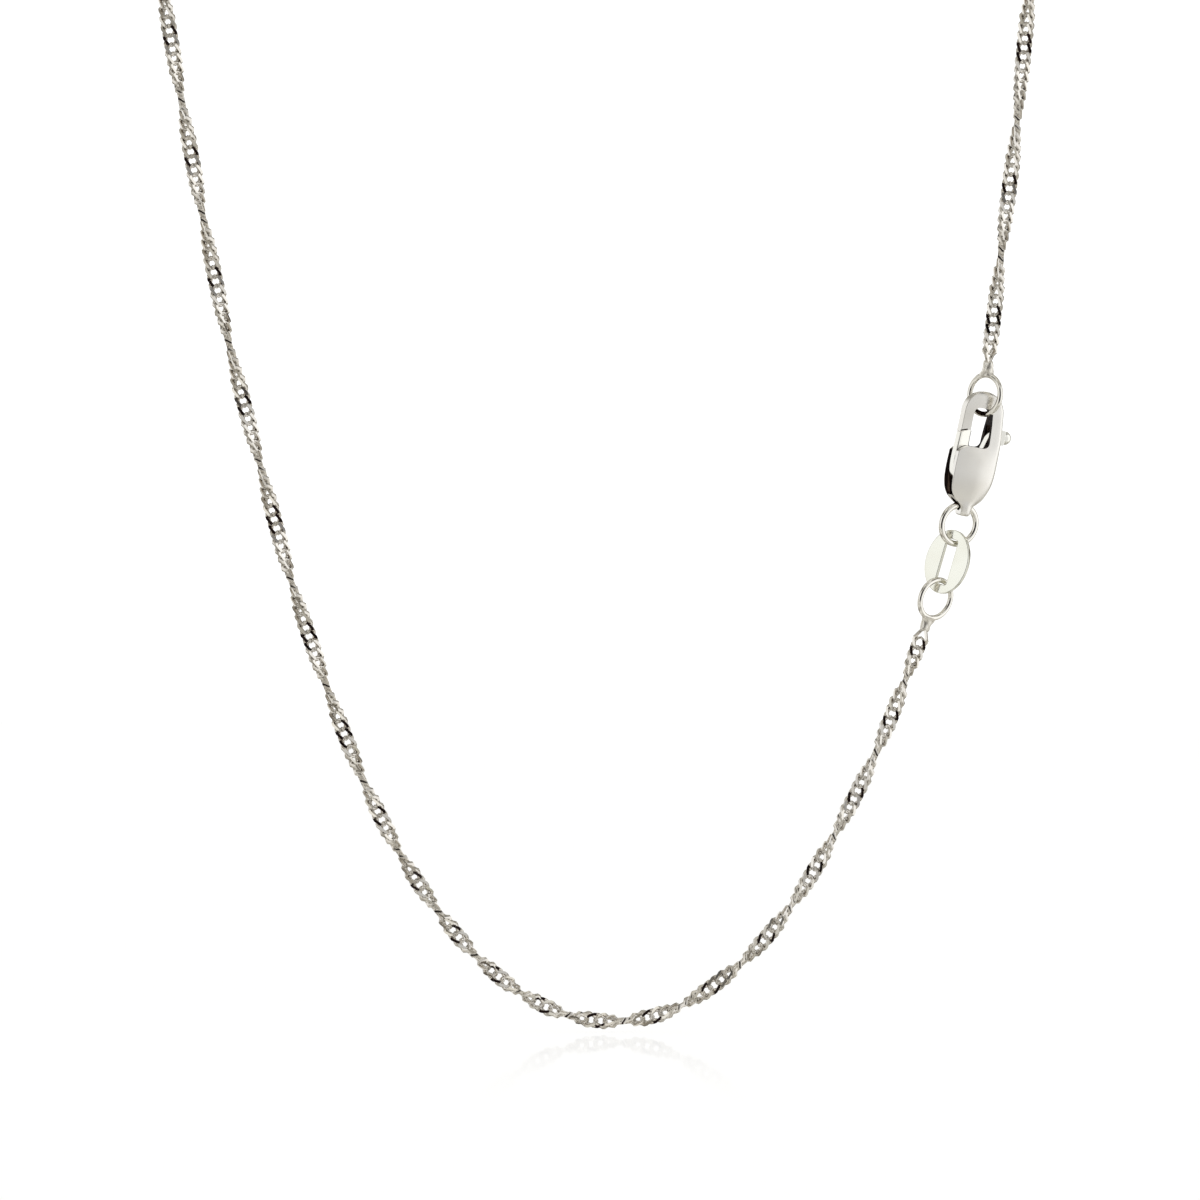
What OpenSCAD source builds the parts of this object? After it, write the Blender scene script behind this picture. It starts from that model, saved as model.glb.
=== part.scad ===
// Twisted curb chain necklace that hangs as it is worn, closed by a lobster clasp.
// Millimetres. +Z is up, +X is to the right seen from the front, and the front faces -Y.
// The origin is at the nape, in the middle of the stretch that goes round the neck.

/* [Chain] */
// Width of the chain across its links
chain_w = 1.55; // [1.3:0.05:1.8]
// Thickness of the chain through its links
chain_t = 0.6; // [0.5:0.05:0.8]

/* [Rings] */
// Outside diameter of the two rings at the chain's ends
ring_d = 4.2; // [4:0.1:4.6]
// Wire of those two rings
ring_wire = 0.5; // [0.4:0.02:0.54]
// Outside diameter of the ring between the clasp and the tag
clasp_ring_d = 4.2; // [4:0.1:4.8]
// Wire of the ring between the clasp and the tag
clasp_ring_wire = 0.52; // [0.4:0.02:0.54]
// Length of the soldered neck between a ring and the chain
neck_l = 0.8; // [0.5:0.1:1.2]
// Width of the soldered neck
neck_d = 1.0; // [0.7:0.05:1.2]

/* [Tag] */
// Length of the oval tag
tag_l = 6.2; // [5.6:0.1:7]
// Width of the oval tag
tag_w = 4.35; // [3.8:0.05:5]
// Thickness of the tag
tag_t = 0.55; // [0.4:0.05:0.6]
// Width of the slot along the tag
tag_slot_w = 1.15; // [1.1:0.05:1.4]
// Metal left past each end of the slot
tag_end = 0.9; // [0.7:0.05:1.2]

/* [Clasp] */
// Length of the clasp from its tail to the top of its hook
clasp_l = 12; // [11:0.5:13]
// Width of the clasp across its two plates
clasp_w = 4.3; // [4:0.1:4.6]
// Thickness of the clasp over both plates
clasp_t = 2.6; // [2.4:0.1:2.8]
// Thickness of each plate
plate_t = 0.7; // [0.6:0.05:0.75]
// Thickness of the tail round its eye
tail_t = 1.7; // [1.5:0.1:2]
// Thickness of the hook
hook_t = 1.2; // [1:0.05:1.3]
// Width of the metal on the hook's closed side
hook_side_w = 1.2; // [1:0.05:1.3]
// Height of the metal over the hook's mouth
hook_arch_h = 1.6; // [1.4:0.05:1.8]
// Width of the hook's mouth
mouth_w = 1.9; // [1.7:0.05:2]
// Height of the hook's mouth
mouth_h = 3.75; // [3.5:0.05:4]
// Bore of the eye in the tail
eye_d = 1.15; // [1.05:0.05:1.2]
// Metal under the eye
eye_floor = 0.45; // [0.4:0.05:0.6]

/* [Lever] */
// Diameter of the pin that the lever turns on
pin_d = 0.8; // [0.6:0.1:1]
// Diameter of the lever's hub
hub_d = 2.1; // [1.8:0.1:2.3]
// Diameter of the thumb knob's rounded end
knob_d = 1.3; // [1.1:0.1:1.4]
// How far the knob stands out from the hook's side
knob_out = 1.3; // [1:0.1:1.5]

/* [Hidden] */

// Clearances: a ring in the hook, in the eye and in the tag's slot
hook_ring_play = 0.14;
eye_play = 0.14;
slot_play = 0.08;
// Clearances: the pin in its hole, the lever between the plates and under the hook's tip
pin_play = 0.03;
lever_play = 0.1;
tip_play = 0.06;
// Gap between a soldered neck and the chain
solder_gap = 0.04;

// The front of the necklace hangs in one upright plane
front_y = -63;
// The tail of the clasp, and how far each piece leans to the right and turns about its own length
clasp_at = [34.8, front_y, -94];
clasp_lean = 11;
clasp_yaw = 20;
hook_ring_lean = 6;
hook_ring_yaw = -42;
clasp_ring_lean = 17;
clasp_ring_yaw = 30;
tag_lean = 16;
tag_yaw = -25;
end_ring_lean = 20;
end_ring_yaw = 40;

// The chain's route from the lower ring, down round the front, up, round the neck and down again,
// with the count of half turns of its twist at each point: a whole count is a place seen edge on
ROUTE = [
    [29.4, front_y, -109.6, 1],
    [26.5, front_y, -116.8, 2],
    [22.6, front_y, -124.5, 3],
    [18.5, front_y, -131.2, 4],
    [13.8, front_y, -136.6, 5],
    [8.0, front_y, -140.7, 6],
    [2.5, front_y, -142.1, 7],
    [-2.8, front_y, -141.5, 8],
    [-7.3, front_y, -139.3, 9],
    [-11.4, front_y, -135.9, 10],
    [-15.1, front_y, -131.5, 11],
    [-18.7, front_y, -126, 12],
    [-22.2, front_y, -119, 13],
    [-25.6, front_y, -110.2, 14],
    [-28.9, front_y, -100.3, 15],
    [-31.9, front_y, -89.1, 16],
    [-34.8, front_y, -77.7, 17],
    [-37.3, front_y, -65.5, 18],
    [-39.3, front_y, -54.5, 19],
    [-41.2, front_y, -43, 20],
    [-44.5, -58, -21, 22],
    [-45.5, -40, -6, 24],
    [-39, -19, -1, 26],
    [-22, -4.5, 0, 28],
    [0, 0, 0, 30],
    [22, -4.5, 0, 32],
    [39, -19, -1, 34],
    [45.5, -40, -6, 36],
    [44.3, -58, -21, 38],
    [41.2, front_y, -43.5, 40],
    [39.9, front_y, -56.8, 41],
    [38.4, front_y, -69.3, 42]
];
first_turn = 0.2;
last_turn = 42.8;
stations_per_turn = 4;
section_sides = 8;

// Front outline of the clasp: share of its length from the tail, share of its half width
OUTLINE = [
    [0, 0.20], [0.02, 0.25], [0.075, 0.29], [0.10, 0.42], [0.14, 0.64], [0.19, 0.81],
    [0.25, 0.93], [0.32, 0.985], [0.41, 1], [0.53, 0.985], [0.64, 0.955], [0.75, 0.94]
];
// Outer and inner edge of the lever's gate: share of the clasp's length, shares of its half width
GATE = [
    [0.27, 0.50, 0.10], [0.34, 0.74, 0.05], [0.41, 0.88, 0.20], [0.49, 0.955, 0.34],
    [0.58, 0.965, 0.40], [0.70, 0.945, 0.40]
];
// Upper and lower edge of the lever's thumb arm: share of the clasp's half width, shares of its length
ARM = [
    [0.05, 0.44, 0.26], [0.20, 0.53, 0.27], [0.36, 0.625, 0.31], [0.50, 0.695, 0.41],
    [0.64, 0.715, 0.52], [0.80, 0.722, 0.58], [1.05, 0.722, 0.602], [1.20, 0.718, 0.607]
];

// Points and directions in the frame of a piece that leans and turns
function up(lean) = [sin(lean), 0, cos(lean)];
function down(lean) = -up(lean);
function placed(at, lean, yaw, p) =
    let (x = p[0] * cos(yaw) - p[1] * sin(yaw), y = p[0] * sin(yaw) + p[1] * cos(yaw))
    at + [x * cos(lean) + p[2] * sin(lean), y, p[2] * cos(lean) - x * sin(lean)];

// A smooth curve through the points of a list
function curve(P, i, t) =
    let (b = P[i], c = P[i + 1],
         a = i > 0 ? P[i - 1] : 2 * b - c,
         d = i + 2 < len(P) ? P[i + 2] : 2 * c - b)
    0.5 * (2 * b + (c - a) * t + (2 * a - 5 * b + 4 * c - d) * t * t + (3 * b - a - 3 * c + d) * t * t * t);
function smooth(P, steps) =
    concat([for (i = [0:len(P) - 2], k = [0:steps - 1]) curve(P, i, k / steps)], [P[len(P) - 1]]);
function reversed(P) = [for (i = [len(P) - 1:-1:0]) P[i]];
function mirrored(P) = [for (p = reversed(P)) [-p[0], p[1]]];

// Heights and edges of the clasp in its own frame: X across, Y through, Z along
half_w = clasp_w / 2;
hook_r = OUTLINE[len(OUTLINE) - 1][1] * half_w;
mouth_right = hook_r - hook_side_w;
mouth_left = mouth_right - mouth_w;
mouth_top = clasp_l - hook_arch_h;
mouth_low = mouth_top - mouth_h;
mouth_corner_r = 0.3 * mouth_w;
plate_corner_drop = 0.45;
cavity_t = clasp_t - 2 * plate_t;
lever_t = cavity_t - 2 * lever_play;
cavity_low = 0.15 * clasp_l;
cavity_high = mouth_low + mouth_corner_r;
spine_x = 0.68 * half_w;
knob_slot_low = 0.33 * clasp_l;
knob_slot_high = 0.745 * clasp_l;
eye_z = eye_d / 2 + eye_floor;
pivot = [-0.12 * half_w, 0.308 * clasp_l];
split_r = norm([-0.72 * half_w, 0.672 * clasp_l] - pivot);

// The wires rest against what they hang from
ring_mean_r = (ring_d - ring_wire) / 2;
clasp_ring_mean_r = (clasp_ring_d - clasp_ring_wire) / 2;
// How far a ring's wire bows away over the width of the tail
eye_bow = pow(OUTLINE[2][1] * clasp_w, 2) / (8 * clasp_ring_mean_r);
hook_ring_reach = hook_t / 2 / sin(clasp_yaw - hook_ring_yaw);
hook_ring_seat = sqrt(pow(ring_d / 2 - ring_wire, 2) - pow(hook_ring_reach, 2)) - hook_ring_play;
hook_ring_at = placed(clasp_at, clasp_lean, clasp_yaw,
    [(mouth_left + mouth_right) / 2, 0, mouth_top + hook_ring_seat]);

eye_at = clasp_at + eye_z * up(clasp_lean);
eye_drop = max(0, eye_d / 2 - clasp_ring_wire / 2 - eye_bow - eye_play);
clasp_ring_at = eye_at + (eye_drop + clasp_ring_mean_r) * down(clasp_ring_lean);

slot_half = tag_l / 2 - tag_end;
slot_corner_r = 0.2 * tag_slot_w;
upper_wire_at = clasp_ring_at + clasp_ring_mean_r * down(clasp_ring_lean);
tag_at = upper_wire_at + (slot_half - clasp_ring_wire / 2 - slot_play) * down(tag_lean);
lower_wire_at = tag_at + (slot_half - ring_wire / 2 - slot_play) * down(tag_lean);
end_ring_at = lower_wire_at + ring_mean_r * down(end_ring_lean);

neck_reach = ring_d / 2 + neck_l;
neck_root_d = 1.1 * neck_d;
neck_end_d = 0.8 * neck_d;
chain_start = end_ring_at + (neck_reach + solder_gap) * down(end_ring_lean);
chain_end = hook_ring_at + (neck_reach + solder_gap) * up(hook_ring_lean);
FULL_ROUTE = concat(
    [[chain_start[0], chain_start[1], chain_start[2], first_turn]],
    ROUTE,
    [[chain_end[0], chain_end[1], chain_end[2], last_turn]]);

// Stations along the chain, closer where it turns faster
function span_steps(i) = max(2, round((FULL_ROUTE[i + 1][3] - FULL_ROUTE[i][3]) * stations_per_turn));
STATIONS = concat(
    [for (i = [0:len(FULL_ROUTE) - 2], k = [0:span_steps(i) - 1]) curve(FULL_ROUTE, i, k / span_steps(i))],
    [FULL_ROUTE[len(FULL_ROUTE) - 1]]);
last = len(STATIONS) - 1;
function place_of(i) = [STATIONS[i][0], STATIONS[i][1], STATIONS[i][2]];
function unit(v) = v / norm(v);
function heading(i) = unit(place_of(min(i + 1, last)) - place_of(max(i - 1, 0)));
function squared(v, along) = unit(v - (v * along) * along);
// A direction across the chain, carried along it without turning about it
ACROSS = [for (i = 0, v = squared([0, 1, 0], heading(0)); i <= last;
               i = i + 1, v = squared(v, heading(min(i, last)))) v];

// One flat section of the chain, turned left-handed by the twist
function section(i) =
    let (t = heading(i), v = ACROSS[i], w = cross(t, v), turn = -180 * STATIONS[i][3])
    [for (k = [0:section_sides - 1])
        let (a = 360 * (k + 0.5) / section_sides,
             p = chain_w / 2 * cos(a) / cos(180 / section_sides),
             q = chain_t / 2 * sin(a) / cos(180 / section_sides))
        place_of(i) + (p * cos(turn) - q * sin(turn)) * v + (p * sin(turn) + q * cos(turn)) * w];

module chain() {
    n = section_sides;
    color("gainsboro")
    polyhedron(
        points = [for (i = [0:last], p = section(i)) p],
        faces = concat(
            [[for (k = [n - 1:-1:0]) k]],
            [for (i = [0:last - 1], k = [0:n - 1]) [i * n + k, i * n + (k + 1) % n, (i + 1) * n + (k + 1) % n]],
            [for (i = [0:last - 1], k = [0:n - 1]) [i * n + k, (i + 1) * n + (k + 1) % n, (i + 1) * n + k]],
            [[for (k = [0:n - 1]) last * n + k]]));
}

module hang(at, lean, yaw) {
    translate(at) rotate([0, lean, 0]) rotate([0, 0, yaw]) children();
}

// A front outline drawn in X and Z, given its thickness along Y
module thick(t) {
    rotate([90, 0, 0]) linear_extrude(t, center = true) children();
}

// A rectangle with rounded corners, drawn about its middle
module rounded(w, h, r) {
    square([w - 2 * r, h], center = true);
    square([w, h - 2 * r], center = true);
    for (x = [-1, 1], z = [-1, 1]) translate([x * (w / 2 - r), z * (h / 2 - r)]) circle(r = r, $fn = 40);
}

// A round of the clasp that runs along Y, at a point of its front outline
module cross_pin(at, d, length) {
    translate([at[0], 0, at[1]]) rotate([90, 0, 0]) cylinder(d = d, h = length, center = true, $fn = 64);
}

module wire_ring(d, wire) {
    rotate([90, 0, 0])
    rotate_extrude($fn = 72)
    translate([(d - wire) / 2, 0]) circle(d = wire, $fn = 24);
}

// A ring with its soldered neck, which points up or down
module necked_ring(direction) {
    wire_ring(ring_d, ring_wire);
    rotate([90 - 90 * direction, 0, 0])
    translate([0, 0, ring_mean_r])
    cylinder(h = neck_reach - ring_mean_r, d1 = neck_root_d, d2 = neck_end_d, $fn = 32);
}

module hook_ring() {
    color("silver") hang(hook_ring_at, hook_ring_lean, hook_ring_yaw) necked_ring(1);
}

module end_ring() {
    color("silver") hang(end_ring_at, end_ring_lean, end_ring_yaw) necked_ring(-1);
}

module clasp_ring() {
    color("silver") hang(clasp_ring_at, clasp_ring_lean, clasp_ring_yaw)
    wire_ring(clasp_ring_d, clasp_ring_wire);
}

// Oval tag with a long slot down its middle
module tag() {
    oval = [for (a = [0:7.5:352.5]) [tag_w / 2 * cos(a), tag_l / 2 * sin(a)]];
    color("ghostwhite") hang(tag_at, tag_lean, tag_yaw)
    thick(tag_t)
    difference() {
        polygon(oval);
        rounded(tag_slot_w, 2 * slot_half, slot_corner_r);
    }
}

// Front outline of the clasp, tail down, hook up
module clasp_front() {
    right = concat(
        smooth([for (row = OUTLINE) [row[1] * half_w, row[0] * clasp_l]], 3),
        [[hook_r, clasp_l - hook_r]]);
    polygon(concat(right, mirrored(right)));
    translate([0, clasp_l - hook_r]) circle(r = hook_r, $fn = 72);
}

// Side profile of the clasp: thin at the tail and the hook, full at the plates.
// The shoulder rows, half thickness and height, lead from the plates to the hook.
module clasp_side(shoulder) {
    back = smooth(concat([
        [0.30 * tail_t, 0], [0.44 * tail_t, 0.025 * clasp_l], [0.5 * tail_t, 0.07 * clasp_l],
        [0.5 * tail_t, 0.11 * clasp_l], [0.43 * clasp_t, 0.20 * clasp_l], [0.5 * clasp_t, 0.30 * clasp_l],
        [0.5 * clasp_t, 0.50 * clasp_l]
    ], shoulder, [
        [0.5 * hook_t, 0.86 * clasp_l], [0.5 * hook_t, 0.965 * clasp_l], [0.30 * hook_t, clasp_l]
    ]), 2);
    polygon(concat(back, mirrored(back)));
}

// The profile given its width on one side of the mouth's middle
module side_half(side, shoulder) {
    translate([mouth_left + mouth_w / 2 + side * clasp_w / 2, 0, 0])
    rotate([90, 0, 90]) linear_extrude(clasp_w, center = true) clasp_side(shoulder);
}

// The hook's mouth, and the place on its left that the gate closes
module clasp_mouth() {
    translate([mouth_left + mouth_w / 2, mouth_low + mouth_h / 2]) rounded(mouth_w, mouth_h, mouth_corner_r);
    intersection() {
        translate(pivot) circle(r = split_r, $fn = 96);
        polygon(concat(
            smooth([
                [-1.2 * half_w, mouth_low - plate_corner_drop], [-half_w, mouth_low - 0.8 * plate_corner_drop],
                [-0.75 * half_w, mouth_low - 0.3 * plate_corner_drop], [mouth_left, mouth_low],
                [mouth_left + mouth_w / 2, mouth_low]
            ], 3),
            [[mouth_left + mouth_w / 2, clasp_l], [-1.2 * half_w, clasp_l]]));
    }
}

// The space between the plates, open on the left, with the knob's slot on the right
module clasp_cavity() {
    translate([-clasp_w, cavity_low]) square([clasp_w + spine_x, cavity_high - cavity_low]);
    translate([0, knob_slot_low]) square([clasp_w, knob_slot_high - knob_slot_low]);
}

module clasp_body() {
    color("whitesmoke") hang(clasp_at, clasp_lean, clasp_yaw) {
        difference() {
            intersection() {
                thick(2 * clasp_t) clasp_front();
                union() {
                    side_half(1, [[0.45 * clasp_t, 0.64 * clasp_l], [0.37 * clasp_t, 0.745 * clasp_l]]);
                    side_half(-1, [[0.5 * clasp_t, 0.56 * clasp_l], [0.5 * hook_t, 0.64 * clasp_l]]);
                }
            }
            thick(2 * clasp_t) clasp_mouth();
            thick(cavity_t) clasp_cavity();
            translate([0, 0, eye_z]) rotate([0, 90, 0]) cylinder(d = eye_d, h = 2 * clasp_w, center = true, $fn = 48);
        }
        cross_pin(pivot, pin_d, cavity_t + plate_t);
    }
}

// The lever: a gate that closes the mouth, a hub on the pin, and a thumb arm with its knob
module clasp_lever() {
    knob_x = hook_r + knob_out - knob_d / 2;
    knob_z = 0.665 * clasp_l;
    gate = concat(
        [for (row = GATE) [-row[1] * half_w, row[0] * clasp_l]],
        [for (row = reversed(GATE)) [-row[2] * half_w, row[0] * clasp_l]]);
    arm = concat(
        [for (row = ARM) [row[0] * half_w, row[1] * clasp_l]],
        [for (row = reversed(ARM)) [row[0] * half_w, row[2] * clasp_l]]);
    color("lightgray") hang(clasp_at, clasp_lean, clasp_yaw)
    difference() {
        union() {
            thick(lever_t) intersection() {
                polygon(gate);
                translate(pivot) circle(r = split_r - tip_play, $fn = 96);
            }
            thick(lever_t) polygon(arm);
            cross_pin(pivot, hub_d, lever_t);
            cross_pin([knob_x, knob_z], knob_d, lever_t);
        }
        cross_pin(pivot, pin_d + 2 * pin_play, 2 * lever_t);
    }
}

chain();
hook_ring();
clasp_body();
clasp_lever();
clasp_ring();
tag();
end_ring();
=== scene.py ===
"""Looks of the twisted curb chain necklace with its lobster clasp, in metres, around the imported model."""

import math
import random

import bpy
from mathutils import Matrix, Vector


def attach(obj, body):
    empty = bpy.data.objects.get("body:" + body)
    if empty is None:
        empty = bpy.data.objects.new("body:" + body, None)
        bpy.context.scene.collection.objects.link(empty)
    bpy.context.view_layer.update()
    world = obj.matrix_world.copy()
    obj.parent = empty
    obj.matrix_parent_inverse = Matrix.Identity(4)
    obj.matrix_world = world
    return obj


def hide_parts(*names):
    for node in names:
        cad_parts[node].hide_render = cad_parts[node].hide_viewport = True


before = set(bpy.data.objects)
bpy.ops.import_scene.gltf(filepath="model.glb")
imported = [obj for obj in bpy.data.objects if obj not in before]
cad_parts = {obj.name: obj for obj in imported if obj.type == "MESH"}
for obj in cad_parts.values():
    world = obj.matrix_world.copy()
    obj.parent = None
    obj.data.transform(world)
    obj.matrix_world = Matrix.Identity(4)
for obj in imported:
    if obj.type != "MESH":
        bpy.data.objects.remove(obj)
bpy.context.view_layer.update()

MM = 0.001

# The camera: what one pixel of the 1200 pixel picture spans at the plane of the necklace's front
PIXEL = 0.095 * MM
PICTURE_SIDE = 1200 * PIXEL
PICTURE_CENTRE = Vector((0.38, -63, -102)) * MM
CAMERA_DISTANCE = 0.9
CAMERA_HEIGHT_ANGLE = math.radians(2.5)
SENSOR_SIDE = 36

# The floor lies just under the lowest link
FLOOR_Z = -143.15 * MM
FLOOR_SIDE = 0.7
FLOOR_MIDDLE_Y = 0.11
FLOOR_COLOUR = (0.25, 0.25, 0.25, 1)
FLOOR_GLOW = 0.88
# The floor's sheen, and where it begins in front of the necklace, is full, and ends behind it
FLOOR_SHEEN = 0.15
FLOOR_SHEEN_ROUGHNESS = 0.05
SHEEN_START_Y = -145 * MM
SHEEN_FULL_Y = -75 * MM
SHEEN_END_Y = -20 * MM

# How bright the studio is at a share of the way round from the lens, what its folds leave of that,
# and how close together they are
STUDIO_RING = (
    (0.0, (0.010, 0.006, 0.006)),
    (0.148, (0.014, 0.009, 0.009)),
    (0.172, (0.52, 0.51, 0.485)),
    (0.22, (0.74, 0.735, 0.70)),
    (0.35, (0.68, 0.67, 0.63)),
    (0.55, (0.58, 0.57, 0.53)),
    (1.0, (0.50, 0.49, 0.46)),
)
STUDIO_FOLDS = (
    (0.32, (0.13, 0.11, 0.09)),
    (0.43, (0.58, 0.56, 0.52)),
    (0.53, (1.0, 1.0, 0.98)),
    (0.66, (1.45, 1.45, 1.45)),
)
FOLDS_SCALE = 3.4
# Dark, grey and white panels: the direction each lies in, how far from it the panel starts and is
# full, in degrees, and how bright it is there. The last is the backdrop behind the object
PANELS = (
    ((-0.72, -0.35, 0.60), 20, 11, 0.06),
    ((0.72, -0.35, 0.60), 20, 11, 0.06),
    ((0.634, -0.729, 0.26), 28, 18, 0.58),
    ((0.628, -0.76, -0.166), 24, 12, 0.64),
    ((0.985, -0.174, 0.0), 44, 26, 1.1),
    ((-0.78, -0.60, 0.15), 25, 14, 0.98),
    ((-0.75, 0.60, 0.1), 30, 20, 0.95),
    ((0.0, 1.0, 0.03), 14, 11, 1.04),
)
PANEL_COLOUR = (1, 1, 0.985, 1)
# How bright the white is that the camera itself sees behind the object
BACKDROP_GLOW = 1.2

# How fine the polishing marks are, and how much they change a metal's roughness
MARKS_SCALE = 900.0
MARKS_ROUGHNESS = 0.12
# How fine the patches of tarnish are, between which values of their noise they fade out, and what
# they leave of a metal's red, green and blue
PATCHES_SCALE = 260.0
PATCHES_FADE = (0.35, 0.58)
TARNISH = (0.95, 0.94, 0.92)
# Painted shade in the clasp's recesses: the colours of its streaks and how fine these are across and
# along the clasp, the least roughness and how much the streaks add, and how weakly they shine
PAINTED_SHADE_STREAKS = (
    (0.44, (0.008, 0.004, 0.004)),
    (0.54, (0.020, 0.010, 0.008)),
    (0.64, (0.13, 0.085, 0.065)),
)
STREAK_SCALE = (2600, 2600, 420)
RECESS_ROUGHNESS = 0.4
STREAK_ROUGHNESS = 0.2
RECESS_SPECULAR = 0.04

# The chain's route from the lower ring, down round the front, up, round the neck and down again,
# in millimetres, with the count of half turns of its twist at each point
FRONT_Y = -63
CHAIN_ROUTE = [
    (31.233, FRONT_Y, -104.666, 0.2),
    (29.4, FRONT_Y, -109.6, 1),
    (26.5, FRONT_Y, -116.8, 2),
    (22.6, FRONT_Y, -124.5, 3),
    (18.5, FRONT_Y, -131.2, 4),
    (13.8, FRONT_Y, -136.6, 5),
    (8.0, FRONT_Y, -140.7, 6),
    (2.5, FRONT_Y, -142.1, 7),
    (-2.8, FRONT_Y, -141.5, 8),
    (-7.3, FRONT_Y, -139.3, 9),
    (-11.4, FRONT_Y, -135.9, 10),
    (-15.1, FRONT_Y, -131.5, 11),
    (-18.7, FRONT_Y, -126, 12),
    (-22.2, FRONT_Y, -119, 13),
    (-25.6, FRONT_Y, -110.2, 14),
    (-28.9, FRONT_Y, -100.3, 15),
    (-31.9, FRONT_Y, -89.1, 16),
    (-34.8, FRONT_Y, -77.7, 17),
    (-37.3, FRONT_Y, -65.5, 18),
    (-39.3, FRONT_Y, -54.5, 19),
    (-41.2, FRONT_Y, -43, 20),
    (-44.5, -58, -21, 22),
    (-45.5, -40, -6, 24),
    (-39, -19, -1, 26),
    (-22, -4.5, 0, 28),
    (0, 0, 0, 30),
    (22, -4.5, 0, 32),
    (39, -19, -1, 34),
    (45.5, -40, -6, 36),
    (44.3, -58, -21, 38),
    (41.2, FRONT_Y, -43.5, 40),
    (39.9, FRONT_Y, -56.8, 41),
    (38.4, FRONT_Y, -69.3, 42),
    (37.2224, -63.0441, -79.5596, 42.8),
]
SPAN_STEPS = 32

# One curb link. It is so long that its end hooks the next link but one, and the link between crosses both
LINK_COUNT = 480
LINK_L = 2.3 * MM
LINK_WIRE = 0.27 * MM
LINK_WIRE_DEPTH = 0.31 * MM
LINK_HALF_T = 0.32 * MM
LINK_WIRE_SIDES = 6
# How far a link can be turned out of the chain's even twist, and the seed of these turns
LINK_PLAY = math.radians(4.5)
PLAY_SEED = 5
# How far the end links reach past the route's ends
END_LINK_REACH = 0.06 * MM
# A link is bent from a plain ring of radius 1 with wire of this radius
PLAIN_WIRE_R = 0.25
# Half of its wire's middle line: across and along in millimetres, and at what level, from 1 at the
# front to -1 at the back. At its side, the first row, the wire is cut through from front to back
LINK_LINE = (
    (0.60, 0.0, 0),
    (0.60, 0.21, 1),
    (0.25, 0.90, 1),
    (0.0, 1.02, 0),
    (-0.25, 0.90, -1),
    (-0.60, 0.21, -1),
)
# The share of the wire's width that its cut faces have, and how near the top a point counts as cut
CUT_FACE_SHARE = 0.92
CUT_TOLERANCE = 0.001 * MM

# Where the rigid pieces hang, in millimetres, how far each leans to the right and turns about its
# own length, in degrees. In its own frame X runs across, Y through and Z along a piece
CLASP_PLACE = ((34.8, FRONT_Y, -94), 11, 20)
HOOK_RING_PLACE = ((36.9151, -63.0441, -82.4835), 6, -42)
CLASP_RING_PLACE = ((34.4373, FRONT_Y, -94.8198), 17, 30)
TAG_PLACE = ((33.3867, FRONT_Y, -98.3673), 16, -25)
END_RING_PLACE = ((32.2385, FRONT_Y, -101.903), 20, 40)

# The clasp, in millimetres: its length and the half width of its hook
CLASP_L = 12
HOOK_R = 2.021
# Half width at heights up the clasp, from the tail to where the hook's arch begins, on the hook's
# closed side and on the gate's side, where the plates are fuller low down
CLASP_TAIL = ((0.0, 0.28), (0.03, 0.37), (0.1, 0.46), (0.24, 0.54), (0.90, 0.62))
CLASP_SHOULDERS = ((6.36, 2.12), (7.68, 2.05), (9.00, HOOK_R), (CLASP_L - HOOK_R, HOOK_R))
CLASP_OUTLINE_RIGHT = (
    *CLASP_TAIL,
    (1.20, 0.90), (1.68, 1.38), (2.28, 1.74), (3.00, 2.00), (3.84, 2.12), (4.92, 2.15),
    *CLASP_SHOULDERS,
)
CLASP_OUTLINE_LEFT = (
    *CLASP_TAIL,
    (1.20, 0.98), (1.68, 1.58), (2.28, 1.95), (3.00, 2.12), (3.84, 2.18), (4.92, 2.18),
    *CLASP_SHOULDERS,
)
# The directions of the points round the hook's arch, in degrees up from its side
ARCH_DEGREES = (7, 14, 21, 28, 35, 42, 49, 56, 63, 69, 75, 80, 84, 87, 89)
# Half thickness at heights up the clasp, on the hook's closed side and on the gate's side
CLASP_THICK_LOW = (
    (0.0, 0.42), (0.03, 0.54), (0.1, 0.65), (0.24, 0.74), (0.84, 0.85), (1.44, 0.91),
    (2.4, 1.10), (3.6, 1.27), (4.8, 1.3), (6.0, 1.29),
)
CLASP_THICK_RIGHT = (
    *CLASP_THICK_LOW,
    (7.68, 1.17), (8.94, 0.96), (10.32, 0.6), (11.58, 0.6), (12.0, 0.36),
)
CLASP_THICK_LEFT = (
    *CLASP_THICK_LOW,
    (6.72, 1.25), (7.68, 0.6), (10.32, 0.6), (11.58, 0.6), (12.0, 0.36),
)
# The radius of the front and back edges on each side, and how much the faces fall off at their sides,
# both on the right at heights up the clasp
CLASP_EDGE_R_RIGHT = ((0.0, 0.12), (1.0, 0.12), (2.6, 0.5), (6.0, 0.5), (7.6, 0.36), (12.0, 0.36))
CLASP_EDGE_R_LEFT = 0.05
CLASP_CROWN_RIGHT = (
    (0.0, 0.34), (1.8, 0.34), (3.0, 0.27), (4.4, 0.18), (5.5, 0.15), (7.2, 0.0), (12.0, 0.0),
)
CLASP_CROWN_LEFT = 0.06
# An edge's radius is at most this share of the half width and of the half thickness, and a quarter of
# a section has so many steps round its edge and across its face
EDGE_SHARE = 0.7
EDGE_STEPS = 6
FACE_STEPS = 5
# The hook's mouth, cut through from front to back with rounded corners
MOUTH_LEFT = -1.079
MOUTH_RIGHT = 0.821
MOUTH_LOW = 6.65
MOUTH_TOP = 10.4
MOUTH_CORNER_R = 0.57
# The top edge of the plates beside the gate, from the left
PLATE_EDGE = ((-2.7, 5.4), (-2.15, 5.98), (-1.75, 6.38), (-1.3, 6.6), (-0.9, 6.65), (-0.13, 6.65))
CAVITY_HALF_T = 0.6
CAVITY_LOW = 1.8
CAVITY_HIGH = 7.22
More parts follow.
